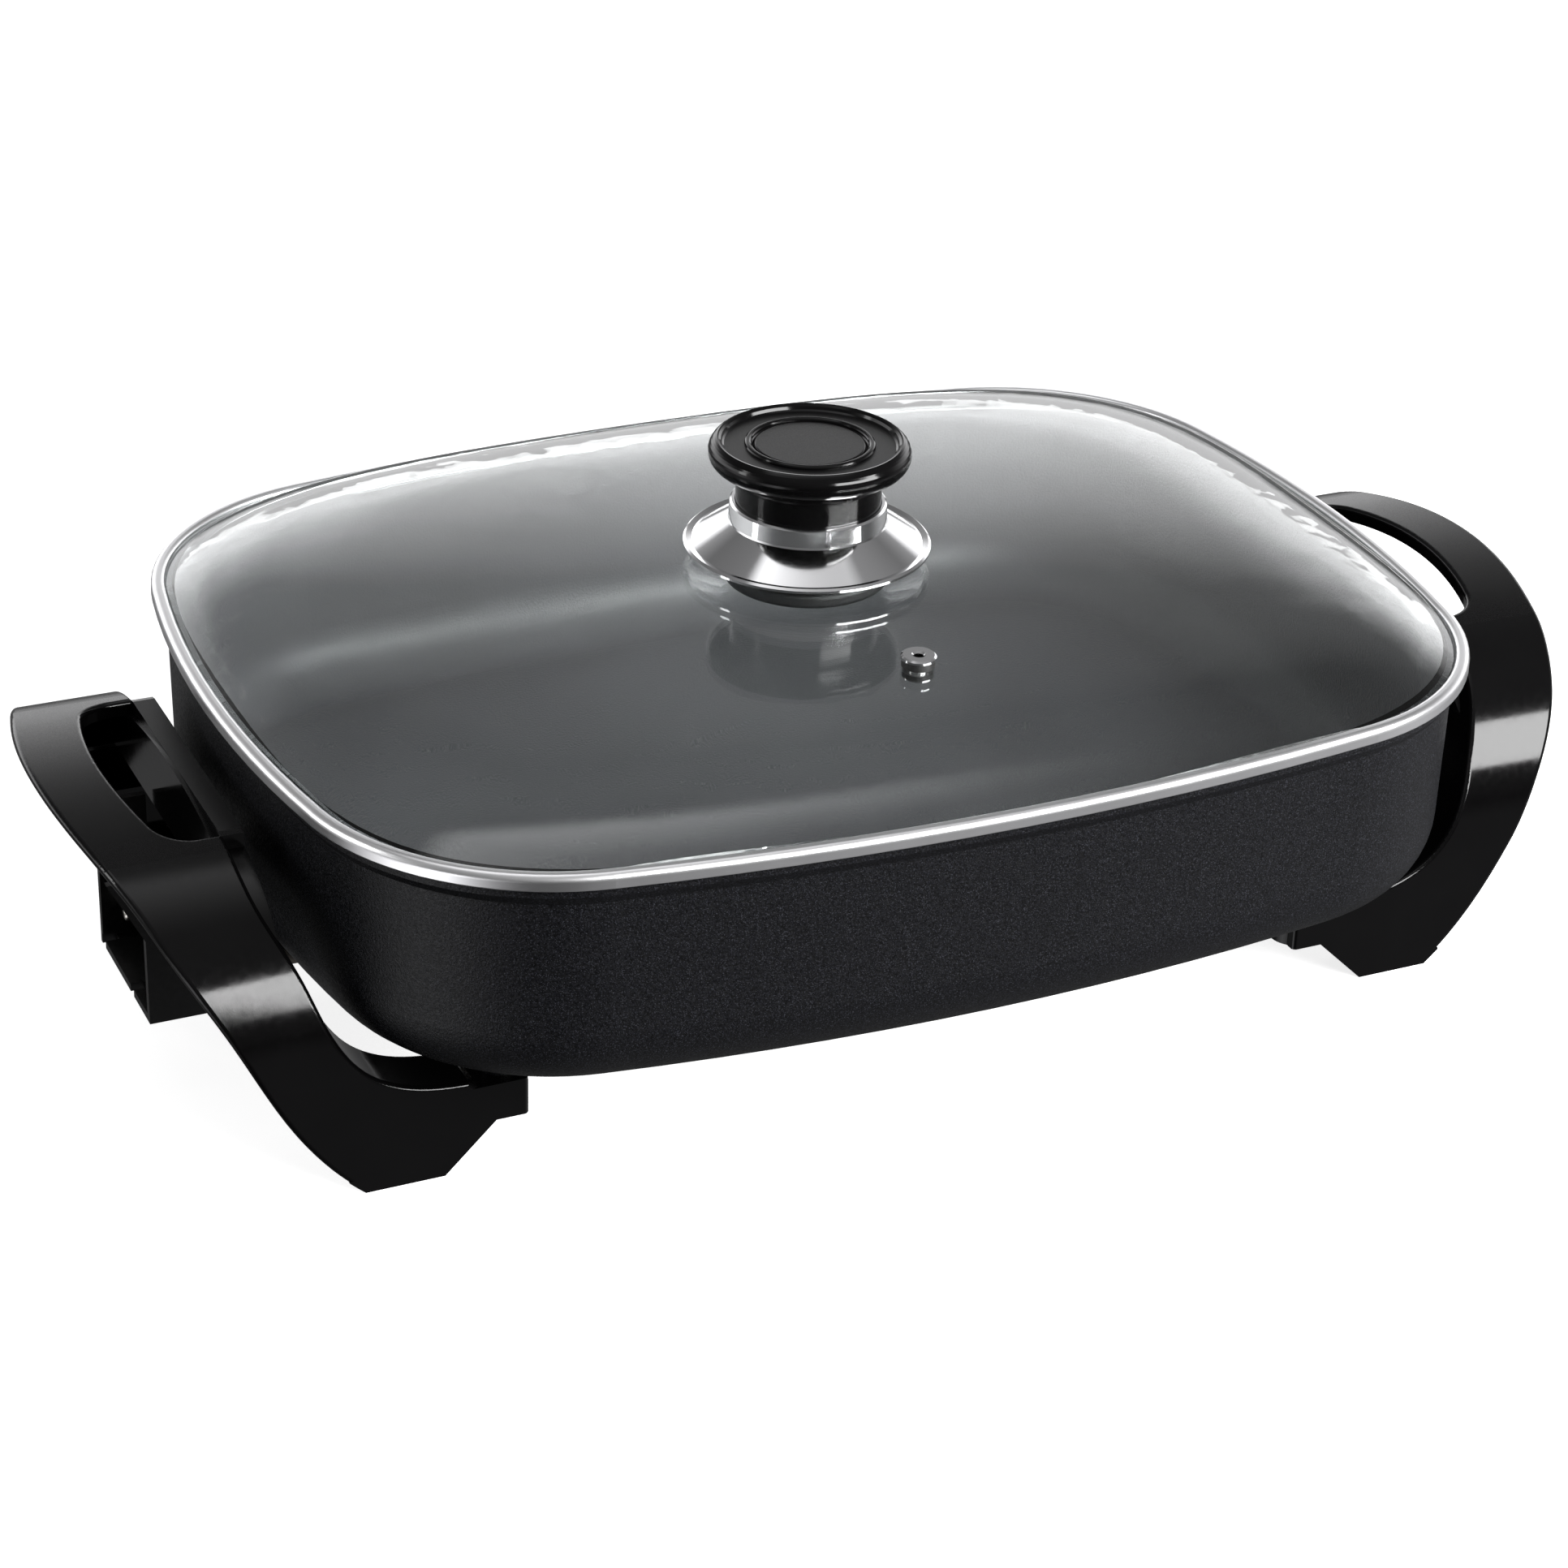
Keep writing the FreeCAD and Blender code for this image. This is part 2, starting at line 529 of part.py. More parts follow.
def vent_axis(shape):
    """Stand a shape made about the Z axis square on the dome at the steam vent."""
    base = dome_height(0, VENT_Y, 0)
    lean = math.degrees(math.atan((dome_height(0, VENT_Y + 1, 0) - dome_height(0, VENT_Y - 1, 0)) / 2))
    shape.rotate(Vector(0, 0, 0), Vector(1, 0, 0), lean)
    shape.translate(Vector(0, VENT_Y, base))
    return shape


def make_glass():
    low = PAN_TOP + RIM_SHEET
    flange = rim_prism(GLASS_EDGE_INSET, low, low + GLASS_EDGE)
    glass = flange.fuse(dome(0, low, 0)).cut(dome(GLASS * 0.9, low - 0.01, GLASS))
    vent = vent_axis(cylinder(VENT_HOLE_RADIUS, 0, 0, -10, 10))
    return glass.cut([cylinder(KNOB_HOLE_RADIUS, 0, 0, 120, 150), vent]).removeSplitter()


def make_rim():
    """Band with a rolled top that stands above the glass, and a flat leg under the glass."""
    low, high = PAN_TOP, PAN_TOP + RIM_HEIGHT
    seat = low + RIM_SHEET + GLASS_EDGE + 0.05
    band = round_edges(rim_prism(0, low, high), ROLL_OUTER_RADIUS, lambda e, p: p.z > high - 0.01)
    band = round_edges(band, 0.5, lambda e, p: p.z < low + 0.01)
    band = band.cut(rim_prism(ROLL_WIDTH, seat, high + 1))
    plan = Part.Face(rim_wire(ROLL_WIDTH - 0.1, high))
    band = round_edges(band, ROLL_INNER_RADIUS,
                       lambda e, p: p.z > high - 0.01 and plan.isInside(p, 0.01, True))
    channel = rim_prism(RIM_SHEET, low + RIM_SHEET, seat)
    return band.cut([channel, rim_prism(RIM_LEG, low - 1, low + RIM_SHEET + 0.1)])


def make_vent_grommet():
    ring = revolve([(2.4, 2.6), (5.2, 2.6), (5.2, 0.1), (3.2, 0.1), (3.2, -4.1), (4.8, -4.1),
                    (4.8, -6.0), (2.4, -6.0)])
    return vent_axis(ring)


def make_vent_eyelet():
    tube = revolve([(1.6, 3.2), (2.2, 3.8), (4.9, 3.8), (5.5, 3.3), (5.5, 2.6), (2.3, 2.6),
                    (2.3, -6.0), (3.6, -6.0), (3.6, -6.7), (1.6, -6.7)])
    return vent_axis(tube)


def make_skirt():
    """Plate under the knob: a thick edge, a cone and a collar round the knob's neck."""
    top = SKIRT_Z + SKIRT_SHEET
    cone = [(24.5, CONE_TOP - 1.2), (38, SKIRT_Z + 0.1), (SKIRT_RADIUS, SKIRT_Z + 0.7), (SKIRT_RADIUS, top + 0.5),
            (38.8, top + 1.1), (37.8, top + 0.9), (36.9, top + 0.7), (COLLAR_RADIUS + 0.2, CONE_TOP)]
    collar = [(COLLAR_RADIUS, CONE_TOP + 0.6), (COLLAR_RADIUS - 0.4, COLLAR_TOP - 0.6),
              (COLLAR_RADIUS - 1, COLLAR_TOP), (NECK_RADIUS + 0.2, COLLAR_TOP), (NECK_RADIUS + 0.2, top)]
    return revolve([(3, SKIRT_Z), (24.5, SKIRT_Z)] + cone + collar + [(3, top)])


def bead(centre_r, centre_z, radius, start, stop, steps):
    """Points of a round bead, angles in degrees from straight out."""
    turns = [math.radians(start + (stop - start) * i / steps) for i in range(steps + 1)]
    return [(centre_r + radius * math.cos(t), centre_z + radius * math.sin(t)) for t in turns]


def make_knob():
    low = SKIRT_Z + SKIRT_SHEET
    rim = bead(DISC_RADIUS - BEAD_RADIUS, KNOB_TOP - BEAD_RADIUS, BEAD_RADIUS, -80, 66, 16)
    neck = bead(NECK_RADIUS + NECK_FILLET, NECK_FILLET_Z, NECK_FILLET, 180, 100, 6)
    annulus = KNOB_TOP - 2.4
    ring = bead(CAP_RADIUS + 1.9, annulus, 1.2, 0, 180, 8)
    profile = [(0, low), (NECK_RADIUS - 0.8, low), (NECK_RADIUS, low + 0.8)] + neck + rim
    profile += [(28.9, annulus + 1.9), (28.2, annulus + 1.3), (27.8, annulus + 0.4), (27.2, annulus)] + ring
    profile += [(CAP_RADIUS + 0.15, annulus - 0.6), (CAP_RADIUS + 0.15, CAP_LOW), (0, CAP_LOW)]
    return revolve(profile).cut(cylinder(INSERT_RADIUS + 0.05, 0, 0, low - 1, INSERT_TOP + 0.05))


def make_cap():
    cap = cylinder(CAP_RADIUS, 0, 0, CAP_LOW, KNOB_TOP - 2.1)
    return round_edges(cap, 0.8, lambda e, p: p.z > CAP_LOW + 1)


def make_insert():
    low = SKIRT_Z + SKIRT_SHEET
    body = cylinder(INSERT_RADIUS, 0, 0, low + 0.1, INSERT_TOP)
    grooves = [cylinder(INSERT_RADIUS + 1, 0, 0, z, z + 1.2).cut(cylinder(INSERT_RADIUS - 0.6, 0, 0, z, z + 1.2))
               for z in (low + 5, low + 13)]
    return body.cut(grooves + [cylinder(KNOB_SCREW_RADIUS + 0.05, 0, 0, low - 1, KNOB_SCREW_TOP + 1)])


def ring_disc(outer, inner, z0, z1, edge):
    disc = cylinder(outer, 0, 0, z0, z1)
    disc = round_edges(disc, edge, lambda e, p: abs(math.hypot(p.x, p.y) - outer) < 0.01
                       and abs(e.tangentAt(e.FirstParameter).z) < 0.1)
    return disc.cut(cylinder(inner, 0, 0, z0 - 1, z1 + 1))


def make_knob_screw(head_top):
    head = cylinder(4.7, 0, 0, head_top - 3.2, head_top)
    head = round_edges(head, 1.4, lambda e, p: p.z < head_top - 2)
    slots = [box(-3, 3, -0.6, 0.6, head_top - 4, head_top - 1.6),
             box(-0.6, 0.6, -3, 3, head_top - 4, head_top - 1.6)]
    return head.fuse(cylinder(KNOB_SCREW_RADIUS, 0, 0, head_top, KNOB_SCREW_TOP)).cut(slots)


# ---------------------------------------------------------------- all nodes

def build():
    right_handle = make_handle()
    right_screws = front_and_back(handle_screw())
    right_washers = front_and_back(handle_washer())
    clip_places = [(x, side) for x in (-CLIP_X, CLIP_X) for side in (-1, 1)]
    under_glass = DOME_TOP - GLASS - 0.3
    under_gasket = under_glass - INNER_GASKET
    under_washer = under_gasket - KNOB_WASHER
    return {
        "pan": make_pan(),
        "right_handle": right_handle,
        "left_handle": mirror_x(right_handle),
        "right_handle_screws": right_screws,
        "left_handle_screws": mirror_x(right_screws),
        "right_handle_washers": right_washers,
        "left_handle_washers": mirror_x(right_washers),
        "heater_sheath": make_heater(),
        "heater_clips": Part.makeCompound([heater_clip(x, side) for x, side in clip_places]),
        "heater_clip_screws": Part.makeCompound([clip_screw(x, side * 57.0) for x, side in clip_places]),
        "terminal_pins": Part.makeCompound([make_pin(-PIN_Y), make_pin(PIN_Y)]),
        "pin_insulators": Part.makeCompound([make_insulator(-PIN_Y), make_insulator(PIN_Y)]),
        "probe_sleeve": make_probe_sleeve(),
        "terminal_plate": make_terminal_plate(),
        "probe_guard": make_guard(),
        "guard_screws": Part.makeCompound([guard_screw(-SOCKET_SCREW_Y), guard_screw(SOCKET_SCREW_Y)]),
        "lid_glass": make_glass(),
        "lid_rim": make_rim(),
        "vent_grommet": make_vent_grommet(),
        "vent_eyelet": make_vent_eyelet(),
        "knob_skirt": make_skirt(),
        "skirt_gasket": ring_disc(16, 3, DOME_TOP + 0.05, SKIRT_Z, 0.8),
        "knob": make_knob(),
        "knob_cap": make_cap(),
        "knob_insert": make_insert(),
        "inner_gasket": ring_disc(26.8, 3, under_gasket, under_glass, 1.6),
        "knob_washer": ring_disc(9, 2.7, under_washer, under_gasket, 0.3),
        "knob_screw": make_knob_screw(under_washer),
    }


def main():
    os.makedirs("parts", exist_ok=True)
    for name, shape in build().items():
        shape.exportStep(f"parts/{name}.step")
        bounds = shape.BoundBox
        print(f"{name:22s} valid {shape.isValid()} solids {len(shape.Solids)} "
              f"x {bounds.XMin:.1f}..{bounds.XMax:.1f} y {bounds.YMin:.1f}..{bounds.YMax:.1f} "
              f"z {bounds.ZMin:.1f}..{bounds.ZMax:.1f} volume {shape.Volume:.0f}")


main()
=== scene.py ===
"""Finishes, light and camera of the electric skillet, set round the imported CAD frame.

Every CAD piece shows as it is. Lengths are in metres, colours in linear RGB.
"""
import json
import math

import bpy
from mathutils import Matrix, Vector

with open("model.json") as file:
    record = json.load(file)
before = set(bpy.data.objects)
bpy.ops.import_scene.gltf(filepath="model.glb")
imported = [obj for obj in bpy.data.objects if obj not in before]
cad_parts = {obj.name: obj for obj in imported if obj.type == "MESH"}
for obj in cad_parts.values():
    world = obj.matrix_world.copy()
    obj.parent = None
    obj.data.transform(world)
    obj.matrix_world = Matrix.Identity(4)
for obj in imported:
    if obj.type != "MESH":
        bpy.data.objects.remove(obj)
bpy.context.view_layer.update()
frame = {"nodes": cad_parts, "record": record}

NODES = frame["nodes"]

# Where a finish changes on the CAD model.
COATING_FROM = 0.0452  # just under the top of the pan's floor
UPWARD_WEIGHT = 0.06  # of a normal's upward part against its outward part: the pan's floor is inside
HANDLE_SATIN = (0.085, 0.104)  # heights over which satin comes in on top of the handles
KNOB_SATIN = (0.1735, 0.1740)
KNOB_SATIN_REACH = 0.0280  # inside the knob's glossy rim
ANY_REACH = 1.0

# A noise texture seldom leaves this band, so finishes spread it over their own range.
NOISE_LOW, NOISE_HIGH = 0.3, 0.7

# Sockets of a Mix node that share their names.
COLOUR_A, COLOUR_B, COLOUR_RESULT = 6, 7, 2
VALUE_A, VALUE_B, VALUE_RESULT = 2, 3, 0

LEVEL = (1, 1, 0)  # times a vector, leaves its part in the XY plane
SMOOTH = {"interpolation_type": "SMOOTHSTEP"}


# ---------------------------------------------------------------- node kit

class Tree:
    """A node tree with a few shortcuts. Where an input may be a value or a socket, either will do."""

    def __init__(self, tree):
        self.tree = tree
        self.tree.nodes.clear()

    def node(self, kind, **settings):
        made = self.tree.nodes.new("ShaderNode" + kind)
        for key, value in settings.items():
            setattr(made, key, value)
        return made

    def link(self, source, socket):
        self.tree.links.new(source, socket)

    def give(self, socket, value):
        if isinstance(value, bpy.types.NodeSocket):
            self.link(value, socket)
        elif isinstance(value, tuple):
            socket.default_value = (*value, 1)
        else:
            socket.default_value = value

    def axis(self, source, name):
        made = self.node("SeparateXYZ")
        self.link(source, made.inputs[0])
        return made.outputs[name]

    def remap(self, source, low, high, to_low=0.0, to_high=1.0, **settings):
        made = self.node("MapRange", clamp=True, **settings)
        for key, value in (("From Min", low), ("From Max", high),
                           ("To Min", to_low), ("To Max", to_high)):
            made.inputs[key].default_value = value
        self.link(source, made.inputs["Value"])
        return made.outputs[0]

    def maths(self, operation, a, b):
        made = self.node("Math", operation=operation)
        for socket, value in zip(made.inputs, (a, b)):
            self.give(socket, value)
        return made.outputs[0]

    def blend(self, factor, a, b, mode="MIX"):
        """Colour between a and b."""
        made = self.node("Mix", data_type="RGBA", blend_type=mode)
        self.link(factor, made.inputs["Factor"])
        self.give(made.inputs[COLOUR_A], a)
        self.give(made.inputs[COLOUR_B], b)
        return made.outputs[COLOUR_RESULT]

    def mix_values(self, factor, a, b):
        made = self.node("Mix", data_type="FLOAT")
        self.link(factor, made.inputs["Factor"])
        self.give(made.inputs[VALUE_A], a)
        self.give(made.inputs[VALUE_B], b)
        return made.outputs[VALUE_RESULT]


class Look(Tree):
    """One Principled material."""

    def __init__(self, name, **inputs):
        self.material = bpy.data.materials.new(name)
        self.material.use_nodes = True
        super().__init__(self.material.node_tree)
        self.output = self.node("OutputMaterial")
        self.shader = self.node("BsdfPrincipled")
        self.link(self.shader.outputs[0], self.output.inputs["Surface"])
        for key, value in inputs.items():
            self.shader.inputs[key.replace("_", " ")].default_value = value
        self.place = self.node("TexCoord").outputs["Object"]
        self.last_bump = None

    def feed(self, socket, source):
        self.link(source, self.shader.inputs[socket])

    def normal(self):
        return self.node("NewGeometry").outputs["Normal"]

    def stretched(self, scale):
        """Object coordinates times a vector."""
        made = self.node("Mapping")
        made.inputs["Scale"].default_value = scale
        self.link(self.place, made.inputs["Vector"])
        return made.outputs[0]

    def noise(self, scale, detail=2.0, roughness=0.5, vector=None):
        made = self.node("TexNoise")
        for key, value in (("Scale", scale), ("Detail", detail), ("Roughness", roughness)):
            made.inputs[key].default_value = value
        self.link(vector or self.place, made.inputs["Vector"])
        return made.outputs["Fac"]

    def drawn_noise(self, stretch, detail):
        """Noise drawn out into lines: stretch is its scale along each axis."""
        return self.noise(1.0, detail, 0.6, self.stretched(stretch))

    def spread(self, noise, low=0.0, high=1.0):
        return self.remap(noise, NOISE_LOW, NOISE_HIGH, low, high)

    def bump(self, height, strength, distance):
        """Adds a relief; several calls stack."""
        made = self.node("Bump")
        made.inputs["Strength"].default_value = strength
        made.inputs["Distance"].default_value = distance
        self.link(height, made.inputs["Height"])
        if self.last_bump is not None:
            self.link(self.last_bump.outputs[0], made.inputs["Normal"])
        self.last_bump = made
        self.feed("Normal", made.outputs[0])


def shade(colour, share):
    return tuple(part * share for part in colour)


# ---------------------------------------------------------------- finishes

def inner_faces(look):
    """1 on the faces inside the pan, 0 on its outside and underneath."""
    normal = look.normal()
    flat = look.node("VectorMath", operation="MULTIPLY")
    look.link(look.place, flat.inputs[0])
    flat.inputs[1].default_value = LEVEL
    outward = look.node("VectorMath", operation="DOT_PRODUCT")
    look.link(flat.outputs[0], outward.inputs[0])
    look.link(normal, outward.inputs[1])
    upward = look.maths("MULTIPLY", look.axis(normal, "Z"), UPWARD_WEIGHT)
    inward = look.maths("SUBTRACT", upward, outward.outputs["Value"])
    facing_in = look.maths("GREATER_THAN", inward, 0.0)
    above_floor = look.maths("GREATER_THAN", look.axis(look.place, "Z"), COATING_FROM)
    return look.maths("MULTIPLY", facing_in, above_floor)


def pan_finish():
    """Speckled charcoal enamel outside, satin non-stick coating inside."""
    look = Look("PanFinish", Specular_IOR_Level=0.3)
    inside = inner_faces(look)

    grain = look.noise(1300, 2.0, 0.6)
    flecks = look.remap(look.noise(2600, 1.0), 0.58, 0.74)
    enamel = look.blend(look.remap(grain, 0.38, 0.66),
                        (0.0008, 0.0008, 0.0012), (0.0048, 0.0050, 0.0068))
    enamel = look.blend(flecks, enamel, (0.028, 0.029, 0.036))
    enamel_rough = look.spread(look.noise(900), 0.34, 0.52)

    cloud = look.noise(14)
    specks = look.remap(look.noise(1600, 2.0, 0.6), 0.62, 0.75, 0.0, 0.4)
    coating = look.blend(look.remap(cloud, 0.35, 0.65),
                         (0.044, 0.0443, 0.0470), (0.054, 0.0543, 0.0575))
    coating = look.blend(specks, coating, (0.085, 0.085, 0.089))
    coating_rough = look.spread(cloud, 0.36, 0.44)

    look.feed("Base Color", look.blend(inside, enamel, coating))
    look.feed("Roughness", look.mix_values(inside, enamel_rough, coating_rough))
    look.bump(grain, strength=0.6, distance=0.0003)
    return look.material


def phenolic_finish(name, satin_heights, satin_reach):
    """Moulded black phenolic: gloss with a faint orange peel, satin on level faces.

    Satin comes in between the two heights and ends at the reach from the middle.
    """
    look = Look(name, Specular_IOR_Level=0.26)
    look.feed("Base Color", look.blend(look.noise(60, 3.0),
                                       (0.0010, 0.0009, 0.0010), (0.0020, 0.0019, 0.0020)))
    level = look.remap(look.axis(look.normal(), "Z"), 0.90, 0.99)
    height = look.remap(look.axis(look.place, "Z"), *satin_heights)
    reach = look.node("VectorMath", operation="LENGTH")
    look.link(look.stretched(LEVEL), reach.inputs[0])
    near = look.maths("LESS_THAN", reach.outputs["Value"], satin_reach)
    satin = look.maths("MULTIPLY", look.maths("MULTIPLY", level, height), near)

    rub = look.remap(look.noise(25, 4.0, 0.6), 0.45, 0.8, 0.0, 0.05)
    gloss_rough = look.maths("ADD", look.spread(look.noise(420), 0.09, 0.13), rub)
    grain = look.noise(2600, 1.0)
    look.feed("Roughness", look.mix_values(satin, gloss_rough, look.spread(grain, 0.32, 0.44)))
    look.bump(look.noise(220), strength=0.06, distance=0.00015)
    look.bump(grain, strength=0.10, distance=0.00002)
    return look.material


def grained_look(name, scale, detail, colours, rough, **inputs):
    """Look with one fine noise in its colour and roughness. Gives the look and the noise."""
    look = Look(name, **inputs)
    fine = look.noise(scale, detail)
    look.feed("Base Color", look.blend(fine, *colours))
    look.feed("Roughness", look.spread(fine, *rough))
    return look, fine


def moulded_finish(name, scale, detail, colours, rough, strength, distance):
    """Matt moulded or fired stuff, its relief following the same noise."""
    look, fine = grained_look(name, scale, detail, colours, rough)
    look.bump(fine, strength, distance)
    return look.material


def steel_finish(name, colour, rough, stretch=(60, 60, 900)):
    """Plain sheet or bar with a drawn grain along one direction."""
    look = Look(name, Metallic=1.0)
    lines = look.drawn_noise(stretch, 3.0)
    look.feed("Base Color", look.blend(look.spread(look.noise(35)), shade(colour, 0.82), colour))
    look.feed("Roughness", look.spread(lines, rough - 0.06, rough + 0.08))
    look.bump(lines, strength=0.15, distance=0.00004)
    return look.material


def sheath_finish():
    """Heater tube, tinted straw and blue-grey by heat."""
    look = Look("SheathSteel", Metallic=1.0)
    tint = look.blend(look.remap(look.noise(22), 0.35, 0.65), (0.20, 0.18, 0.15), (0.24, 0.235, 0.25))
    look.feed("Base Color", look.blend(look.noise(400), tint, (0.10, 0.095, 0.09)))
    look.feed("Roughness", look.spread(look.noise(300), 0.35, 0.55))
    look.bump(look.noise(900), strength=0.2, distance=0.00005)
    return look.material


def polished_finish(name, colour, rough):
    """Polished stainless with faint buffing marks and handling haze."""
    look = Look(name, Metallic=1.0)
    haze = look.noise(45, 3.0)
    marks = look.drawn_noise((500, 500, 2500), 2.0)
    look.feed("Base Color", look.blend(haze, colour, shade(colour, 0.94)))
    look.feed("Roughness", look.maths("ADD", look.remap(haze, 0.35, 0.7, rough, rough + 0.03),
                                      look.remap(marks, 0.5, 0.8, 0.0, 0.03)))
    look.bump(marks, strength=0.05, distance=0.00001)
    return look.material


def glass_finish():
    """Clear tempered glass that lets lamp light through to the pan."""
    look = Look("LidGlass", Transmission_Weight=1.0, IOR=1.5, Specular_IOR_Level=0.32)
    smear = look.noise(28, 3.0, 0.6)
    look.feed("Base Color", look.blend(smear, (0.955, 0.975, 0.97), (0.93, 0.955, 0.95)))
    look.feed("Roughness", look.remap(smear, 0.5, 0.85, 0.0, 0.05))
    clear = look.node("BsdfTransparent")
    look.give(clear.inputs["Color"], (0.92, 0.94, 0.94))
    mix = look.node("MixShader")
    look.link(look.node("LightPath").outputs["Is Shadow Ray"], mix.inputs[0])
    look.link(look.shader.outputs[0], mix.inputs[1])
    look.link(clear.outputs[0], mix.inputs[2])
    look.link(mix.outputs[0], look.output.inputs["Surface"])
    return look.material


def floor_finish():
    """Nearly white floor with its own glow, so shadows stay faint."""
    look, _ = grained_look("StudioFloor", scale=90, detail=3.0,
                           colours=((0.80, 0.80, 0.80), (0.82, 0.82, 0.82)), rough=(0.8, 0.9),
                           Specular_IOR_Level=0.1, Emission_Strength=0.8)
    look.give(look.shader.inputs["Emission Color"], (1, 1, 1))
    return look.material


LOOKS = {
    "pan_metal": pan_finish(),
    "phenolic": phenolic_finish("Phenolic", HANDLE_SATIN, ANY_REACH),
    "guard_plastic": moulded_finish("GuardPhenolic", scale=700, detail=3.0,
                                    colours=((0.0010, 0.0009, 0.0009), (0.0024, 0.0022, 0.0022)),
                                    rough=(0.34, 0.5), strength=0.3, distance=0.00006),
    "screw_steel": steel_finish("ScrewSteel", (0.55, 0.55, 0.56), 0.3),
    "sheath_steel": sheath_finish(),
    "plate_steel": steel_finish("PlateSteel", (0.5, 0.5, 0.51), 0.32, (60, 900, 60)),
    "pin_metal": steel_finish("PinNickel", (0.62, 0.6, 0.56), 0.2, (60, 900, 900)),
    "ceramic": moulded_finish("Steatite", scale=900, detail=3.0,
                              colours=((0.62, 0.58, 0.50), (0.74, 0.71, 0.63)),
                              rough=(0.55, 0.75), strength=0.3, distance=0.00004),
    "lid_glass": glass_finish(),
    "rim_steel": polished_finish("RimSteel", (0.95, 0.95, 0.96), 0.3),
    "skirt_chrome": polished_finish("SkirtSteel", (0.93, 0.93, 0.94), 0.07),
    "silicone": moulded_finish("SiliconeBlack", scale=1200, detail=2.0,
                               colours=((0.0012, 0.0010, 0.0011), (0.0028, 0.0025, 0.0026)),
                               rough=(0.5, 0.65), strength=0.2, distance=0.00003),
    "brass": steel_finish("TurnedBrass", (0.72, 0.55, 0.26), 0.25, (60, 60, 1500)),
}
KNOB_LOOK = phenolic_finish("KnobPhenolic", KNOB_SATIN, KNOB_SATIN_REACH)
KNOB_NODES = ("knob", "knob_cap")

for row in frame["record"]["subparts"]:
    data = NODES[row["node"]].data
    data.materials.clear()
    data.materials.append(KNOB_LOOK if row["node"] in KNOB_NODES else LOOKS[row["material_slot"]])


# ---------------------------------------------------------------- studio

# Tent brightness by height: 0 is straight down, 0.5 the horizon, 1 straight up.
FRONT_TENT = ((0.0, 0.28), (0.42, 0.24), (0.495, 0.05), (0.54, 0.12), (0.75, 0.20), (1.0, 0.30))
BACK_TENT = ((0.0, 0.10), (0.46, 0.18), (0.51, 1.8), (0.60, 2.3), (0.66, 1.35), (0.71, 0.30),
             (0.80, 0.14), (0.94, 0.18), (0.965, 1.7), (1.0, 1.8))
# The lower front half is this many times as bright, from the left (0) to the right (1).
LOW_FRONT = ((0.0, 1.0), (0.07, 10.0), (0.13, 2.0), (0.22, 0.1), (0.38, 0.2), (0.62, 0.85),
             (0.8, 0.9), (1.0, 2.2))
TENT_BLUE = 1.01  # blue over red and green

# Over these parts of a direction's unit vector one piece of the tent turns into the next.
FRONT_TO_BACK = (-0.35, 0.55)  # its Y
LOW_TO_HIGH = (-0.12, 0.0)  # its Z

LAMP_AIM = Vector((0, 0, 0.08))
FLOOR_SIZE, FLOOR_CELLS = 12.0, 12

# Camera fitted to the photo, angles in degrees, lens and sensor in millimetres.
CAMERA_AZIMUTH, CAMERA_ELEVATION, CAMERA_ROLL = -25.0, 27.73, 1.81
CAMERA_PLACE = Vector((-0.4898, -1.0389, 0.6571))
CAMERA_LENS, CAMERA_SENSOR = 90.39, 36.0
CAMERA_NEAR = 0.01


def way_to(azimuth, elevation):
    """Unit vector from the object, angles in radians. Azimuth 0 is the front, at -Y."""
    return Vector((math.sin(azimuth) * math.cos(elevation), -math.cos(azimuth) * math.cos(elevation),
                   math.sin(elevation)))


def put(name, data):
    made = bpy.data.objects.new(name, data)
    bpy.context.scene.collection.objects.link(made)
    return made


def area_light(name, azimuth, elevation, distance, width, height, power):
    """Soft box aimed at the object, unseen by the camera. Angles in degrees, power in watts."""
    light = bpy.data.lights.new(name, "AREA")
    light.shape = "RECTANGLE"
    light.size, light.size_y = width, height
    light.energy = power
    lamp = put(name, light)
    way = way_to(math.radians(azimuth), math.radians(elevation))
    lamp.location = LAMP_AIM + way * distance
    lamp.rotation_euler = way.to_track_quat("Z", "Y").to_euler()
    lamp.visible_camera = False


def tent_ramp(tree, source, stops):
    """Grey by position, where source runs from 0 to 1."""
    made = tree.node("ValToRGB")
    tree.link(source, made.inputs[0])
    elements = made.color_ramp.elements
    while len(elements) < len(stops):
        elements.new(0.5)
    for element, (position, value) in zip(elements, stops):
        element.position = position
        element.color = (value, value, value * TENT_BLUE, 1)
    return made.outputs["Color"]


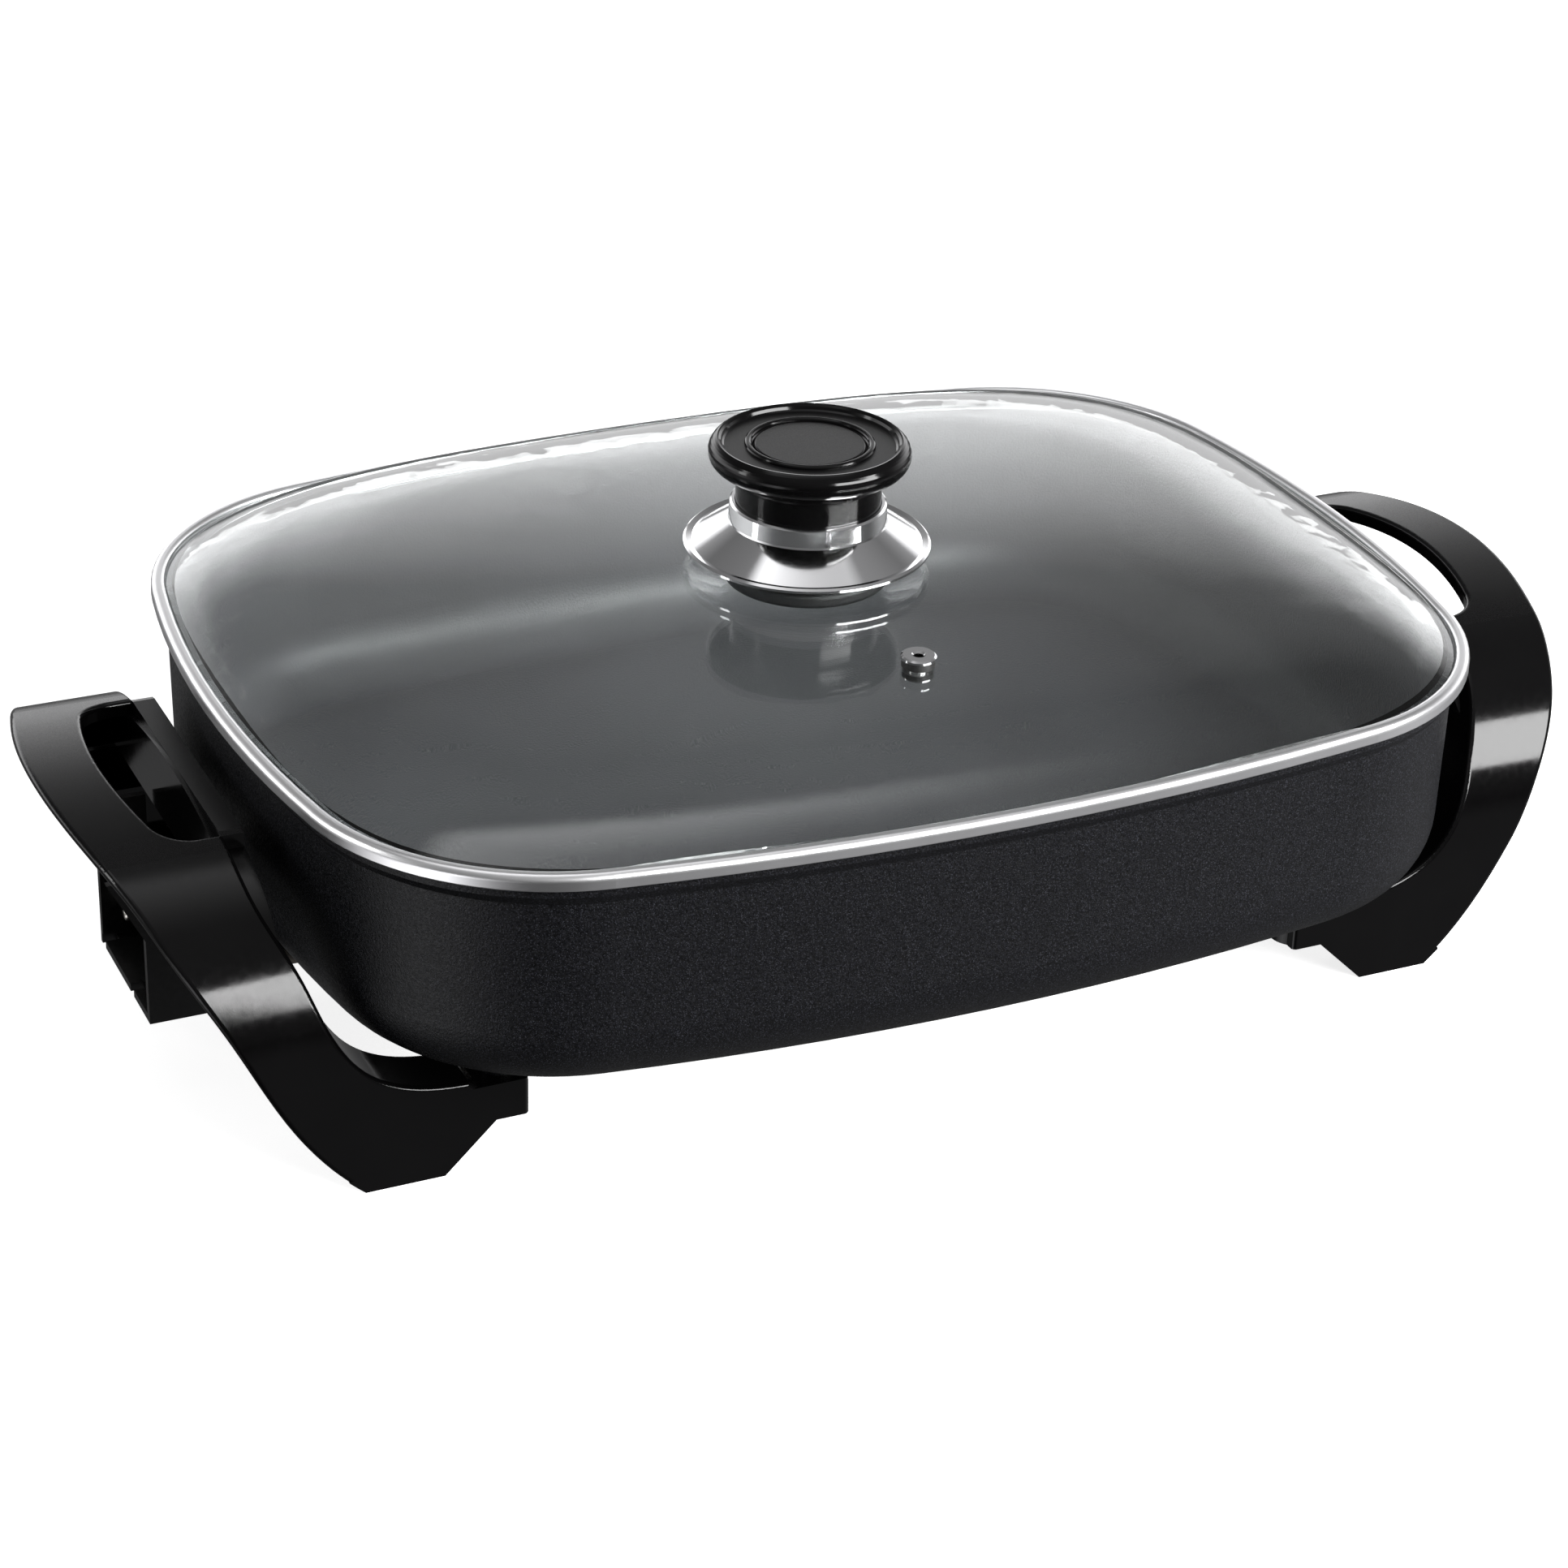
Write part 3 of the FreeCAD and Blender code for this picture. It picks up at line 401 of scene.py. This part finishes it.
def make_world():
    """Light tent: bright low down behind the object, dim in front and below, white to the camera."""
    world = bpy.data.worlds.new("Studio")
    bpy.context.scene.world = world
    world.use_nodes = True
    tree = Tree(world.node_tree)
    way = tree.node("TexCoord").outputs["Generated"]
    height = tree.remap(tree.axis(way, "Z"), -1, 1)
    across = tree.remap(tree.axis(way, "X"), -1, 1)
    behind = tree.remap(tree.axis(way, "Y"), *FRONT_TO_BACK, **SMOOTH)
    low = tree.remap(tree.axis(way, "Z"), *LOW_TO_HIGH, 1, 0, **SMOOTH)
    front = tree.blend(low, tent_ramp(tree, height, FRONT_TENT), tent_ramp(tree, across, LOW_FRONT),
                       "MULTIPLY")
    tent = tree.blend(behind, front, tent_ramp(tree, height, BACK_TENT))
    seen = tree.blend(tree.node("LightPath").outputs["Is Camera Ray"], tent, (1, 1, 1))
    background = tree.node("Background")
    tree.link(seen, background.inputs["Color"])
    tree.link(background.outputs[0], tree.node("OutputWorld").inputs["Surface"])


def make_floor():
    """Level grid under the feet that neither reflects in the object nor lights it."""
    row = FLOOR_CELLS + 1
    verts = [(FLOOR_SIZE * (i / FLOOR_CELLS - 0.5), FLOOR_SIZE * (j / FLOOR_CELLS - 0.5), 0)
             for j in range(row) for i in range(row)]
    faces = [(j * row + i, j * row + i + 1, (j + 1) * row + i + 1, (j + 1) * row + i)
             for j in range(FLOOR_CELLS) for i in range(FLOOR_CELLS)]
    data = bpy.data.meshes.new("Floor")
    data.from_pydata(verts, [], faces)
    data.materials.append(floor_finish())
    floor = put("Floor", data)
    floor.visible_glossy = False
    floor.visible_diffuse = False


def make_camera():
    azimuth, elevation, roll = (math.radians(v) for v in (CAMERA_AZIMUTH, CAMERA_ELEVATION, CAMERA_ROLL))
    back = way_to(azimuth, elevation)
    right = Vector((math.cos(azimuth), math.sin(azimuth), 0))
    up = back.cross(right)
    right, up = (right * math.cos(roll) + up * math.sin(roll), up * math.cos(roll) - right * math.sin(roll))
    data = bpy.data.cameras.new("Camera")
    data.lens = CAMERA_LENS
    data.sensor_width = CAMERA_SENSOR
    data.clip_start = CAMERA_NEAR
    camera = put("Camera", data)
    place = Matrix((right, up, back)).transposed().to_4x4()
    place.translation = CAMERA_PLACE
    camera.matrix_world = place
    bpy.context.scene.camera = camera


make_world()
make_floor()
make_camera()
area_light("FrontRight", azimuth=32, elevation=26, distance=1.75, width=1.5, height=0.66, power=72)
area_light("LeftStrip", azimuth=-104, elevation=22, distance=1.4, width=0.22, height=0.6, power=2.5)

bpy.context.scene.view_settings.view_transform = "Standard"
